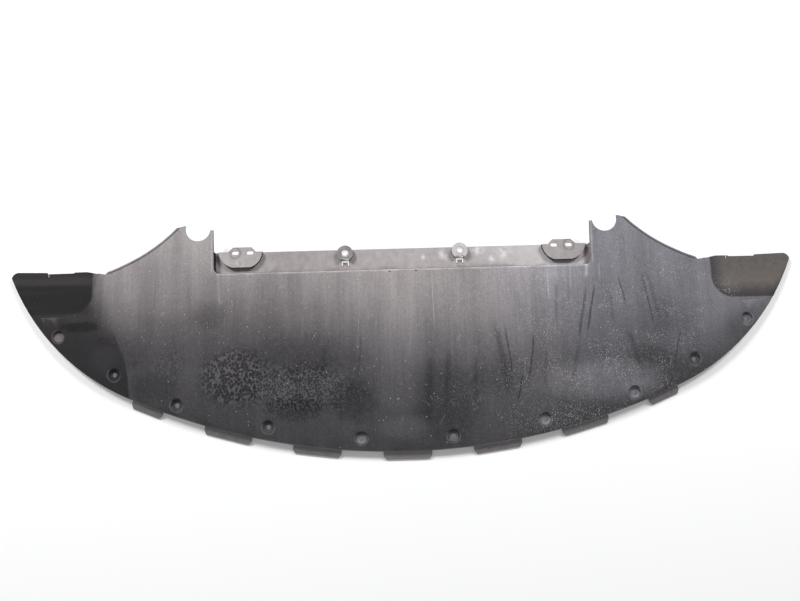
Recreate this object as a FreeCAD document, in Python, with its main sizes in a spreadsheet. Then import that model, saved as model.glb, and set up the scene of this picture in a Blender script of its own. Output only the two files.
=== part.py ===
import FreeCAD, Part
import os
import Sketcher

# Engine splash shield: one moulded sheet that closes the underside of a car's nose, with two spring-steel
# nuts pushed into its rear flange. It lies flat with its road side up: +X to the right, +Y to the rear of
# the car, +Z out of the road side. Heights are counted from the flat road face, Z = 0, until the finished
# parts are set down on the floor.

SIZES = (
    ("wall", 2.5, "thickness of the moulded sheet"),
    ("front_reach", 238.0, "front edge of the face, ahead of the origin, on the centre line"),
    ("front_radius", 1440.0, "plan radius of the front edge between the two creases"),
    ("corner_radius", 515.0, "plan radius of the front edge outboard of a crease"),
    ("crease_x", 590.0, "where each wing folds down, from the centre line"),
    ("wing_fall", 0.0925, "fall of a wing for each millimetre outboard of its crease"),
    ("roll_radius", 420.0, "radius of the front edge's downward roll"),
    ("roll_width", 130.0, "width of the roll between the creases"),
    ("tip_roll_width", 40.0, "width of the roll at the end of a wing"),
    ("tip_corner", 15.0, "plan radius of a wing's tip"),
    ("wing_rear_y", 166.5, "rear edge of a wing at its tip"),
    ("rebate_outer_x", 775.0, "outer end of the shallow rebate in a wing's rear edge"),
    ("rebate_inner_x", 716.0, "inner end of that rebate"),
    ("rebate_depth", 5.0, "depth of that rebate"),
    ("rebate_lip", 2.0, "fall of the rear edge from the tip's corner to the rebate"),
    ("rebate_outer_run", 2.0, "run of the step at its outer end"),
    ("rebate_inner_run", 3.0, "run of the step at its inner end"),
    ("shoulder_rise", 2.0, "rear edge of a wing inboard of the rebate, above its bottom"),
    ("shoulder_x", 686.0, "where that edge turns down to the inner corner"),
    ("inner_corner_x", 642.0, "inner corner between wing and horn"),
    ("inner_corner_drop", 9.0, "fall of the edge from the shoulder to that corner"),
    ("sweep_centre_x", 743.0, "centre of the swept edge's arc"),
    ("sweep_centre_y", 499.0, "centre of the swept edge's arc"),
    ("sweep_radius", 355.0, "radius of the swept edge between wing and horn"),
    ("sweep_start_x", 636.0, "lower end of the swept edge"),
    ("sweep_end_x", 488.0, "upper end of the swept edge"),
    ("rim_width", 6.5, "width of the lowered rim along the swept edge"),
    ("rim_step", 4.5, "how far the rim and the tabs lie behind the face"),
    ("horn_tip_x", 469.0, "outer point of a horn"),
    ("horn_tip_y", 255.0, "outer point of a horn"),
    ("horn_ease_x", 3.0, "cut on a horn's outer corner, across the car"),
    ("horn_ease_y", 2.5, "cut on a horn's outer corner, along the car"),
    ("finger_x", 407.5, "inner face of the finger at a horn's rear end"),
    ("finger_y", 244.5, "rear end of that finger"),
    ("finger_flat", 5.0, "width of that finger's square end"),
    ("notch_x", 440.5, "centre of the round notch in a horn"),
    ("notch_y", 247.8, "centre of the round notch in a horn"),
    ("notch_radius", 27.0, "radius of the round notch in a horn"),
    ("recess_x", 405.0, "side wall of the rear recess"),
    ("recess_front_y", 149.5, "front wall of the rear recess"),
    ("recess_depth", 16.0, "depth of the rear recess, which is the fixing flange"),
    ("recess_corner", 11.0, "plan radius of the recess's front corners"),
    ("flange_rear_y", 196.5, "rear edge of the fixing flange"),
    ("pad_height", 8.0, "height of the raised pads above the flange"),
    ("bracket_x", 346.0, "middle of a bracket pad's two slots"),
    ("bracket_y", 194.0, "line of a bracket pad's two slots"),
    ("bracket_front", 31.5, "bracket pad ahead of its slots"),
    ("bracket_rear", 12.5, "bracket pad behind its slots"),
    ("bracket_outer", 52.5, "outer end of a bracket pad, from its middle"),
    ("bracket_inner", 42.0, "inner end of a bracket pad, from its middle"),
    ("slot_pitch", 32.0, "distance between the two slots of a pad"),
    ("slot_length", 15.0, "length of a slot, end to end"),
    ("slot_width", 7.5, "width of a slot"),
    ("nut_x", 124.5, "screw nut from the centre line"),
    ("nut_y", 187.5, "line of the two screw nuts"),
    ("boss_radius", 17.3, "radius of the round pad over a nut"),
    ("window_radius", 8.0, "radius of the window that shows a nut's collar"),
    ("slit_width", 16.2, "width of the slit that a nut clip passes"),
    ("slit_rear", 10.8, "rear end of that slit, ahead of the nut"),
    ("catch_width", 8.0, "width of the catch between a clip's prongs"),
    ("catch_length", 4.0, "length of the catch"),
    ("catch_height", 2.0, "height of the catch above the flange"),
    ("catch_hole", 4.2, "length of the hole behind the catch"),
    ("catch_gap", 1.4, "from a round pad to that hole"),
    ("edge_round", 4.0, "rounding of the rear recess's upper edge"),
    ("horn_lip", 3.6, "edge of a horn behind the flange, from the face down"),
    ("clip_gauge", 1.2, "thickness of the spring steel"),
    ("clip_width", 15.4, "width of the spring steel"),
    ("clip_rear", 10.5, "clip behind the nut's axis"),
    ("collar_radius", 6.2, "outside of the nut's collar"),
    ("collar_height", 4.0, "height of that collar above the strip"),
    ("nut_radius", 4.25, "thread of the nut"),
    ("bend_ahead", 1.0, "clip's upper bend ahead of the slit's rear end"),
    ("foot_behind", 0.6, "clip's lower bend behind the round pad's rim"),
    ("prong_width", 2.4, "width of each of a clip's two prongs"),
    ("prong_reach", 27.0, "end of the prongs, ahead of the nut's axis"),
    ("dish_radius", 14.0, "radius of a screw dish at its mouth"),
    ("dish_depth", 5.0, "depth of a screw dish below the face around it"),
    ("dish_draft", 38.0, "draft angle of a dish's wall, in degrees"),
    ("dish_hole", 5.0, "radius of the screw hole in a dish"),
    ("dish_1_x", 742.0, "screw dish nearest the wing tip"),
    ("dish_1_y", 23.0, "screw dish nearest the wing tip"),
    ("dish_2_x", 618.5, "second screw dish"),
    ("dish_2_y", -61.5, "second screw dish"),
    ("dish_3_x", 486.0, "third screw dish"),
    ("dish_3_y", -129.0, "third screw dish"),
    ("dish_4_x", 292.5, "fourth screw dish"),
    ("dish_4_y", -179.5, "fourth screw dish"),
    ("dish_5_x", 97.0, "screw dish nearest the centre line"),
    ("dish_5_y", -208.5, "screw dish nearest the centre line"),
    ("tab_reach", 17.0, "front tab beyond the face's edge"),
    ("tab_width", 103.0, "width of the five middle front tabs"),
    ("tab_pitch", 7.62, "angle between those tabs about the front edge's centre, in degrees"),
    ("outer_tab_width", 69.0, "width of the two outer front tabs"),
    ("outer_tab_angle", 22.45, "angle of the outer front tabs from the centre line, in degrees"),
    ("tab_chamfer", 5.0, "cut on a front tab's corners"),
    ("ramp_x", 665.0, "inner side of the sunken field in a wing"),
    ("ramp_y", 66.0, "front side of the sunken field in a wing"),
    ("ramp_depth", 9.0, "depth of that field at its inner front corner"),
    ("ramp_run", 150.0, "width over which that depth runs out"),
    ("ramp_dip", 0.045, "extra depth of that field for each millimetre rearward"),
    ("ramp_corner", 50.0, "plan radius of that field's inner front corner"),
    ("ramp_draft", 40.0, "slope of the field's walls from upright, in degrees"),
    ("ramp_skew", 6.0, "lean of the field's side and corner in plan"),
    ("drain_x", 28.2, "drain slot from the centre line"),
    ("drain_gap", 4.0, "drain slot ahead of the recess's front wall"),
    ("drain_length", 5.0, "length of a drain slot"),
    ("drain_width", 2.2, "width of a drain slot"),
    ("split_width", 2.2, "width of the split in each wing's rebate"),
    ("split_depth", 7.0, "depth of that split"),
    ("split_left", 4.0, "left wing's split, inboard of the rebate's outer end"),
    ("split_right", 6.0, "right wing's split, inboard of the rebate's inner end"),
    ("pin_hole", 1.4, "radius of the small hole near the left tip"),
    ("pin_out", 32.0, "that hole outboard of the rebate"),
    ("pin_ahead", 26.0, "that hole ahead of the rebate's bottom"),
)

BASE = -60.0       # underside of the forms, below every recess
OVERHANG = 45.0    # how far the roll is carried on past the front edge
PRISM = "240"      # height of the upright prisms, past the forms both ways
CUTTER = "30"      # height of a hollow's cutter above its floor
CENTRE_STATIONS = (-1.0, -0.5, 0.0, 0.5, 1.0)      # shares of the crease's distance
WING_STATIONS = (0.0, 0.33, 0.67, 1.0)             # shares of the way to past the tip
PAST_TIP = 0.43    # share of the way from the tip to the outer end of the corner's circle
TIP_WIDTH, TIP_DEPTH = 1.1, 0.8    # extent of a wing's tip corner, in shares of its radius
TAB_ROOT = 12.0    # how far a front tab runs back under the face
TAB_TAPER = 1.6    # length of the cut on a tab's corner, in shares of its width
SLIT_PLAY = 0.3    # how far a nut's slit runs on past its round pad
PLAY = 0.1         # gap between the spring steel and the sheet
ROOT = 1.0         # how far a catch is rooted in the flange
CATCH_PLAY = 0.5   # gap between a catch and each prong's hole side
BEND_EASE = 0.6    # how far a bend's inside lies behind its outside
PRONG_CLEAR = 0.75 # the gap between the prongs starts this far ahead of the catch hole's rear end
TOUCH = 0.01       # edges nearer to a plane than this lie in it

# A bracket pad's outline, in shares of its outer and inner half widths from its middle.
OUTER_FOOT, OUTER_BOW = 0.42, 0.8
INNER_FOOT, INNER_BOW = 0.4, 0.85
EAR_OUTER_ROOT, EAR_OUTER_TOP = 0.6, 0.38
EAR_INNER_TOP, EAR_INNER_ROOT = 0.45, 0.68

doc = FreeCAD.newDocument("engine_splash_shield")
sheet = doc.addObject("Spreadsheet::Sheet", "sizes")
for row, (alias, number, meaning) in enumerate(SIZES, start=1):
    sheet.set(f"A{row}", alias)
    sheet.set(f"B{row}", str(number))
    sheet.set(f"C{row}", meaning)
    sheet.setAlias(f"B{row}", alias)
doc.recompute()


def measure(expression):
    """The number that an expression on the sheet comes to."""
    return float(sheet.evalExpression(expression))


# Expressions for the places that several outlines share.

FRONT_CENTRE_Y = "(sizes.front_radius - sizes.front_reach)"
LEAN = "sqrt(1 - (sizes.crease_x / sizes.front_radius)^2)"
CORNER_CENTRE_X = "(sizes.crease_x * (1 - sizes.corner_radius / sizes.front_radius))"
CORNER_CENTRE_Y = f"({FRONT_CENTRE_Y} - (sizes.front_radius - sizes.corner_radius) * {LEAN})"
FLANGE_Z = "(-sizes.recess_depth)"
PAD_Z = "(sizes.pad_height - sizes.recess_depth)"
CATCH_REAR = "(sizes.boss_radius + sizes.catch_gap + sizes.catch_hole)"
REACH = "(sizes.horn_tip_y + 30 * sizes.wall)"
REBATE_Y = "(sizes.wing_rear_y - sizes.rebate_depth)"
SHOULDER_Y = f"({REBATE_Y} + sizes.shoulder_rise)"
TIP_Y = f"(sizes.wing_rear_y - {TIP_DEPTH} * sizes.tip_corner)"
TIP_X = f"({CORNER_CENTRE_X} + sqrt(sizes.corner_radius^2 - ({TIP_Y} - {CORNER_CENTRE_Y})^2))"
LAST_X = f"({TIP_X} + {PAST_TIP} * ({CORNER_CENTRE_X} + sizes.corner_radius - {TIP_X}))"
FINGER_SPLAY = "((sizes.finger_x - sizes.recess_x) / (sizes.finger_y - sizes.recess_front_y))"
FLANGE_SIDE_X = f"(sizes.recess_x + {FINGER_SPLAY} * (sizes.flange_rear_y - sizes.recess_front_y))"


def front_y(x, inset="0"):
    """The front edge at x, between the creases, moved into the sheet by inset."""
    return f"({FRONT_CENTRE_Y} - sqrt((sizes.front_radius - {inset})^2 - ({x})^2))"


def corner_y(x, inset="0"):
    """The front edge at x, outboard of a crease."""
    return f"({CORNER_CENTRE_Y} - sqrt((sizes.corner_radius - {inset})^2 - ({x} - {CORNER_CENTRE_X})^2))"


def sweep_y(x, inset="0"):
    """The swept edge at x, moved into the sheet by inset."""
    across = f"({x} - sizes.sweep_centre_x)"
    return f"(sizes.sweep_centre_y - sqrt((sizes.sweep_radius + {inset})^2 - {across}^2))"


def roll_width(x):
    """The width of the front roll at x, outboard of a crease."""
    share = f"(({x}) - sizes.crease_x) / ({TIP_X} - sizes.crease_x)"
    return f"(sizes.roll_width + (sizes.tip_roll_width - sizes.roll_width) * {share})"


def roll_drop(run):
    """How far the roll has fallen, run millimetres past its start."""
    return f"(sizes.roll_radius - sqrt(sizes.roll_radius^2 - ({run})^2))"


def wing_drop(x):
    """How far the flat of a wing has fallen at x."""
    return f"((({x}) - sizes.crease_x) * sizes.wing_fall)"


FLAT_FROM = f"({front_y('sizes.crease_x')} + sizes.roll_width + 4 * sizes.wall)"


def origin_plane(body, role):
    return next(item for item in body.Origin.OriginFeatures if item.Role == role)


def add_sketch(body, name, role="XY_Plane", offset=None):
    sketch = body.newObject("Sketcher::SketchObject", name)
    sketch.AttachmentSupport = (origin_plane(body, role), [""])
    sketch.MapMode = "FlatFace"
    if offset:
        sketch.AttachmentOffset = offset
    return sketch


def pin(sketch, kind, *where_and_size):
    """Adds a dimension whose size is an expression on the sheet."""
    *where, expression = where_and_size
    index = sketch.addConstraint(Sketcher.Constraint(kind, *where, measure(expression)))
    sketch.setExpression(f"Constraints[{index}]", expression)


def corner(x, y, radius=None, side=1):
    """A corner of an outline. With a radius, the edge that leaves it is an arc; side 1 curves left."""
    return x, y, radius, side


def draw_outline(sketch, corners):
    """A closed outline of lines and arcs through the corners, each held by its own dimensions."""
    count = len(corners)
    spots = [FreeCAD.Vector(measure(x), measure(y), 0) for x, y, _, _ in corners]
    ends = []
    for index, (x, y, radius, side) in enumerate(corners):
        start, end = spots[index], spots[(index + 1) % count]
        if radius is None:
            edge = sketch.addGeometry(Part.LineSegment(start, end), False)
            ends.append((edge, 1, 2))
            continue
        chord = end - start
        size = measure(radius)
        across = FreeCAD.Vector(-chord.y, chord.x, 0).normalize() * side
        centre = (start + end) * 0.5 + across * (size**2 - (chord.Length / 2) ** 2) ** 0.5
        circle = Part.Circle(centre, FreeCAD.Vector(0, 0, 1), size)
        first, last = (start, end) if side > 0 else (end, start)
        angles = circle.parameter(first), circle.parameter(last)
        edge = sketch.addGeometry(Part.ArcOfCircle(circle, *angles), False)
        ends.append((edge, 1, 2) if side > 0 else (edge, 2, 1))
    for index, (x, y, radius, side) in enumerate(corners):
        edge, start, end = ends[index]
        follower, follower_start, _ = ends[(index + 1) % count]
        sketch.addConstraint(Sketcher.Constraint("Coincident", edge, end, follower, follower_start))
        pin(sketch, "DistanceX", edge, start, x)
        pin(sketch, "DistanceY", edge, start, y)
        if radius is not None:
            pin(sketch, "Radius", edge, radius)


def draw_circle(sketch, x, y, radius):
    circle = Part.Circle(FreeCAD.Vector(measure(x), measure(y), 0), FreeCAD.Vector(0, 0, 1), measure(radius))
    edge = sketch.addGeometry(circle, False)
    pin(sketch, "Radius", edge, radius)
    pin(sketch, "DistanceX", edge, 3, x)
    pin(sketch, "DistanceY", edge, 3, y)


def draw_box(sketch, x, y, width, depth):
    """A rectangle centred on x, y."""
    left, right = f"({x}) - ({width}) / 2", f"({x}) + ({width}) / 2"
    near, far = f"({y}) - ({depth}) / 2", f"({y}) + ({depth}) / 2"
    draw_outline(sketch, [corner(left, near), corner(right, near), corner(right, far), corner(left, far)])


def draw_slot(sketch, x, y, length, width):
    """A slot with round ends, lying along X."""
    half, flat = f"({width}) / 2", f"(({length}) - ({width})) / 2"
    left, right = f"({x}) - {flat}", f"({x}) + {flat}"
    near, far = f"({y}) - {half}", f"({y}) + {half}"
    tight = f"{half} * 1.0001"
    draw_outline(sketch, [corner(left, near), corner(right, near, tight), corner(right, far),
                          corner(left, far, tight)])


def mirrored(corners):
    """The same outline's left half, run the other way."""
    flipped = []
    for index in range(len(corners) - 1, -1, -1):
        x, y, _, _ = corners[index]
        radius, side = corners[index - 1][2:] if index > 0 else (None, 1)
        flipped.append((f"-({x})", y, radius, side))
    return flipped


def add_pad(body, sketch, length, both_ways=False, down=False):
    feature = body.newObject("PartDesign::Pad", sketch.Name + "_pad")
    feature.Profile = sketch
    feature.Midplane = both_ways
    feature.Reversed = down
    feature.setExpression("Length", length)
    body.Tip = feature
    return feature


def add_pocket(body, sketch, length, up=False, draft=None):
    feature = body.newObject("PartDesign::Pocket", sketch.Name + "_pocket")
    feature.Profile = sketch
    feature.Reversed = up
    feature.setExpression("Length", length)
    if draft:
        feature.setExpression("TaperAngle", draft)
    body.Tip = feature
    return feature


def mirror_features(body, name, features):
    mirror = body.newObject("PartDesign::Mirrored", name)
    mirror.Originals = features
    mirror.MirrorPlane = (origin_plane(body, "YZ_Plane"), [""])
    body.Tip = mirror
    return mirror


def add_body(name):
    return doc.addObject("PartDesign::Body", name)


def station(body, name, x, rear, front, width, fall):
    """One cross-section of the sheet's form at x: flat from the rear, then rolled down to the front."""
    offset = FreeCAD.Placement(FreeCAD.Vector(0, 0, measure(x)), FreeCAD.Rotation())
    sketch = add_sketch(body, name, "YZ_Plane", offset)
    sketch.setExpression("AttachmentOffset.Base.z", x)
    top, start, end = f"-({fall})", f"{front} + {width}", f"{front} - {OVERHANG}"
    low = f"{top} - {roll_drop(f'{width} + {OVERHANG}')}"
    draw_outline(sketch, [
        corner(rear, str(BASE)),
        corner(rear, top),
        corner(start, top, "sizes.roll_radius"),
        corner(end, low),
        corner(end, str(BASE)),
    ])
    return sketch


def add_loft(body, name, sections):
    loft = body.newObject("PartDesign::AdditiveLoft", name)
    loft.Profile = sections[0]
    loft.Sections = sections[1:]
    body.Tip = loft
    return loft


def recess_corners(growth):
    """The rear recess, open to the rear: its walls moved outward by growth."""
    half = f"(sizes.recess_x + {growth})"
    front = f"(sizes.recess_front_y - {growth})"
    turn = f"(sizes.recess_corner + {growth})"
    return [
        corner(f"{half} - {turn}", front, turn),
        corner(half, f"{front} + {turn}"),
        corner(f"{half} + {FINGER_SPLAY} * ({REACH} - {front} - {turn})", REACH),
    ]


def bracket_corners(inset, hand):
    """A bracket pad: slanted outer side, straight front, rounded inner side and a raised rear ear."""
    outer, inner = f"(sizes.bracket_outer - {inset})", f"(sizes.bracket_inner - {inset})"
    front = f"(sizes.bracket_y - sizes.bracket_front + {inset})"
    rear = f"(sizes.bracket_y + sizes.bracket_rear - {inset})"
    middle, waist, edge = "sizes.bracket_x", "sizes.bracket_y", "sizes.flange_rear_y"
    path = [
        corner(f"{middle} + {OUTER_FOOT} * {outer}", front, f"{outer} * {OUTER_BOW}"),
        corner(f"{middle} + {outer}", waist),
        corner(f"{middle} + {outer}", edge),
        corner(f"{middle} + {EAR_OUTER_ROOT} * {outer}", edge),
        corner(f"{middle} + {EAR_OUTER_TOP} * {outer}", rear),
        corner(f"{middle} - {EAR_INNER_TOP} * {inner}", rear),
        corner(f"{middle} - {EAR_INNER_ROOT} * {inner}", edge),
        corner(f"{middle} - {inner}", edge),
        corner(f"{middle} - {inner}", waist, f"{inner} * {INNER_BOW}"),
        corner(f"{middle} - {INNER_FOOT} * {inner}", front),
    ]
    if hand > 0:
        return path
    return mirrored(path)


def round_edges(body, feature, radius):
    """Rounds the edge between the road face and the walls of the rear recess."""
    doc.recompute()
    ahead = measure("sizes.recess_front_y - 2 * sizes.wall")
    beside = measure("sizes.recess_x + 6 * sizes.wall")
    reach = measure(REACH)
    chosen = []
    for number, edge in enumerate(feature.Shape.Edges, start=1):
        spots = edge.discretize(5)
        on_face = all(abs(spot.z) < TOUCH for spot in spots)
        beside_recess = all(spot.y > ahead and abs(spot.x) < beside for spot in spots)
        behind_all = all(abs(spot.y - reach) < TOUCH for spot in spots)
        if on_face and beside_recess and not behind_all:
            chosen.append(f"Edge{number}")
    fillet = body.newObject("PartDesign::Fillet", feature.Name + "_round")
    fillet.Base = (feature, chosen)
    fillet.setExpression("Radius", radius)
    body.Tip = fillet
    return fillet


def form(name, growth, lower):
    """The solid under the sheet's road face. growth moves the walls of every hollow outward, and lower
    sets the whole form down, so that one form cut from another leaves a sheet of even thickness."""
    body = add_body(name)
    crease = "sizes.crease_x"
    flat = add_sketch(body, f"{name}_flat")
    draw_outline(flat, [corner(f"-{crease}", FLAT_FROM), corner(crease, FLAT_FROM),
                        corner(crease, REACH), corner(f"-{crease}", REACH)])
    add_pad(body, flat, str(-BASE), down=True)
    middle = [station(body, f"{name}_middle_{index}", f"{crease} * {share}", FLAT_FROM,
                      front_y(f"{crease} * {share}"), "sizes.roll_width", "0")
              for index, share in enumerate(CENTRE_STATIONS)]
    add_loft(body, f"{name}_middle", middle)
    wing = []
    for index, share in enumerate(WING_STATIONS):
        x = f"({crease} + ({LAST_X} - {crease}) * {share})"
        wing.append(station(body, f"{name}_wing_{index}", x, REACH, corner_y(x), roll_width(x),
                            wing_drop(x)))
    wing_loft = add_loft(body, f"{name}_wing", wing)
    mirror_features(body, f"{name}_wings", [wing_loft])

    recess = add_sketch(body, f"{name}_recess")
    side = recess_corners(growth)
    draw_outline(recess, side + mirrored(side))
    opened = add_pocket(body, recess, "sizes.recess_depth")
    round_edges(body, opened, f"(sizes.edge_round - {growth})")

    floor = FreeCAD.Placement(FreeCAD.Vector(0, 0, measure(FLANGE_Z)), FreeCAD.Rotation())
    pads = add_sketch(body, f"{name}_pads", "XY_Plane", floor)
    pads.setExpression("AttachmentOffset.Base.z", FLANGE_Z)
    for hand in (1, -1):
        draw_outline(pads, bracket_corners(growth, hand))
        draw_circle(pads, f"{hand} * sizes.nut_x", "sizes.nut_y", f"(sizes.boss_radius - {growth})")
    add_pad(body, pads, "sizes.pad_height")

    ramp_z = measure(f"-{wing_drop('sizes.ramp_x')} - sizes.ramp_depth")
    fall_x = measure("-sizes.wing_fall + sizes.ramp_depth / sizes.ramp_run")
    fall_y = measure("-sizes.ramp_dip")
    upright = FreeCAD.Vector(-fall_x, -fall_y, 1)
    spot = FreeCAD.Vector(measure("sizes.ramp_x"), measure("sizes.ramp_y"), ramp_z)
    ramp = add_sketch(body, f"{name}_ramp", "XY_Plane",
                      FreeCAD.Placement(spot, FreeCAD.Rotation(FreeCAD.Vector(0, 0, 1), upright)))
    past_tip = f"({LAST_X} - sizes.ramp_x)"
    past_rear = "(sizes.wing_rear_y - sizes.ramp_y + 12 * sizes.wall)"
    draw_outline(ramp, [
        corner("sizes.ramp_corner + sizes.ramp_skew", f"-{growth}"),
        corner(past_tip, f"-{growth}"),
        corner(past_tip, past_rear),
        corner(f"-sizes.ramp_skew - {growth}", past_rear),
        corner(f"sizes.ramp_skew - {growth}", "sizes.ramp_corner", "sizes.ramp_corner * 1.05"),
    ])
    ramp_cut = add_pocket(body, ramp, CUTTER, up=True, draft="sizes.ramp_draft")
    mirror_features(body, f"{name}_ramps", [ramp_cut])

    dishes = []
    for index in range(1, 6):
        x, y = f"sizes.dish_{index}_x", f"sizes.dish_{index}_y"
        inboard = measure(x) < measure(crease)
        edge, width, fall = (front_y(x), "sizes.roll_width", "0") if inboard else \
            (corner_y(x), roll_width(x), wing_drop(x))
        drop = f"({fall} + {roll_drop(f'{width} - ({y} - {edge})')})"
        level = f"-{drop} - sizes.dish_depth"
        floor = FreeCAD.Placement(FreeCAD.Vector(0, 0, measure(level)), FreeCAD.Rotation())
        dish = add_sketch(body, f"{name}_dish_{index}", "XY_Plane", floor)
        dish.setExpression("AttachmentOffset.Base.z", level)
        foot = "(sizes.dish_radius - sizes.dish_depth * tan(sizes.dish_draft * 1deg))"
        draw_circle(dish, x, y, f"({foot} + {growth})")
        dishes.append(add_pocket(body, dish, CUTTER, up=True, draft="sizes.dish_draft"))
    mirror_features(body, f"{name}_dishes", dishes)

    body.setExpression("Placement.Base.z", f"-({lower})")
    return body


def plan_corners(rim):
    """The right half of the sheet's outline, from the front crease to the flange's rear edge."""
    return [
        corner("sizes.crease_x", front_y("sizes.crease_x"), "sizes.corner_radius"),
        corner(TIP_X, TIP_Y, "sizes.tip_corner"),
        corner(f"{TIP_X} - {TIP_WIDTH} * sizes.tip_corner", "sizes.wing_rear_y"),
        corner("sizes.rebate_outer_x", "sizes.wing_rear_y - sizes.rebate_lip"),
        corner("sizes.rebate_outer_x - sizes.rebate_outer_run", REBATE_Y),
        corner("sizes.rebate_inner_x", REBATE_Y),
        corner("sizes.rebate_inner_x - sizes.rebate_inner_run", SHOULDER_Y),
        corner("sizes.shoulder_x", SHOULDER_Y),
        corner("sizes.inner_corner_x", f"{SHOULDER_Y} - sizes.inner_corner_drop"),
        corner("sizes.sweep_start_x", sweep_y("sizes.sweep_start_x", rim),
               f"(sizes.sweep_radius + {rim})", -1),
        corner(f"sizes.sweep_end_x - {rim}", sweep_y(f"(sizes.sweep_end_x - {rim})", rim)),
        corner(f"sizes.sweep_end_x - {rim} - sizes.horn_ease_x", "sizes.horn_tip_y - sizes.horn_ease_y"),
        corner("sizes.horn_tip_x", "sizes.horn_tip_y"),
        corner("sizes.finger_x + sizes.finger_flat", "sizes.finger_y"),
        corner("sizes.finger_x", "sizes.finger_y"),
        corner(FLANGE_SIDE_X, "sizes.flange_rear_y"),
    ]


def plan(name, rim):
    """An upright prism over the sheet's outline, its swept edges drawn in by rim."""
    body = add_body(name)
    sketch = add_sketch(body, f"{name}_outline")
    half = plan_corners(rim)
    left = mirrored(half)
    left[-1] = left[-1][:2] + ("sizes.front_radius", 1)
    draw_outline(sketch, half + left)
    add_pad(body, sketch, PRISM, both_ways=True)
    return body


def core_plan(name, wall):
    """The same, for the hollow behind the face: it stops one wall short of the steps at the front edge
    and the swept edges, and runs past every other edge."""
    body = add_body(name)
    sketch = add_sketch(body, f"{name}_outline")
    inset = f"(sizes.rim_width + {wall})"
    past_y = "(sizes.wing_rear_y + 30)"
    along = f"({past_y} - {CORNER_CENTRE_Y})"
    reach_x = f"({CORNER_CENTRE_X} + sqrt((sizes.corner_radius - {wall})^2 - {along}^2))"
    crease = f"(sizes.crease_x * (1 - {wall} / sizes.front_radius))"
    half = [
        corner(crease, front_y(crease, wall), f"(sizes.corner_radius - {wall})"),
        corner(reach_x, past_y),
        corner("sizes.inner_corner_x + 4", past_y),
        corner("sizes.inner_corner_x + 4", sweep_y("(sizes.inner_corner_x + 4)", inset),
               f"(sizes.sweep_radius + {inset})", -1),
        corner(f"sizes.sweep_end_x - {inset}", sweep_y(f"(sizes.sweep_end_x - {inset})", inset)),
        corner(f"sizes.sweep_end_x - {inset}", f"{REACH} - 4 * sizes.wall"),
    ]
    left = mirrored(half)
    left[-1] = left[-1][:2] + (f"(sizes.front_radius - {wall})", 1)
    draw_outline(sketch, half + left)
    add_pad(body, sketch, PRISM, both_ways=True)
    return body


def pad_plan():
    """Prisms over the raised pads, which stand out past the flange's rear edge."""
    body = add_body("pad_plan")
    sketch = add_sketch(body, "pad_plan_outline")
    for hand in (1, -1):
        draw_outline(sketch, bracket_corners("0", hand))
        draw_circle(sketch, f"{hand} * sizes.nut_x", "sizes.nut_y", "sizes.boss_radius")
    add_pad(body, sketch, PRISM, both_ways=True)
    return body


def tab_plan(name, width, angle, count):
    """Front tabs, spread evenly about the centre of the front edge's arc."""
    body = add_body(name)
    sketch = add_sketch(body, f"{name}_outline")
    tip, root = "-(sizes.front_radius + sizes.tab_reach)", f"-(sizes.front_radius - {TAB_ROOT})"
    half, cut = f"({width} / 2)", "sizes.tab_chamfer"
    side = [
        corner(f"{half} - {cut}", tip),
        corner(half, f"{tip} + {cut} * {TAB_TAPER}"),
        corner(half, root),
    ]
    draw_outline(sketch, side + mirrored(side))
    pad = add_pad(body, sketch, PRISM, both_ways=True)
    pattern = body.newObject("PartDesign::PolarPattern", f"{name}_row")
    pattern.Originals = [pad]
    pattern.Axis = (origin_plane(body, "Z_Axis"), [""])
    pattern.Occurrences = count
    pattern.setExpression("Angle", f"{angle} * {count - 1} * 1deg")
    body.Tip = pattern
    start = measure(f"-{angle} * {count - 1} / 2")
    body.Placement = FreeCAD.Placement(FreeCAD.Vector(0, measure(FRONT_CENTRE_Y), 0),
                                       FreeCAD.Rotation(FreeCAD.Vector(0, 0, 1), start))
    return body


def fuse(name, *parts):
    fused = doc.addObject("Part::MultiFuse", name)
    fused.Shapes = parts
    return fused


def common(name, *parts):
    shared = doc.addObject("Part::MultiCommon", name)
    shared.Shapes = parts
    return shared


def cut(name, base, tool):
    left = doc.addObject("Part::Cut", name)
    left.Base, left.Tool = base, tool
    return left


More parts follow.
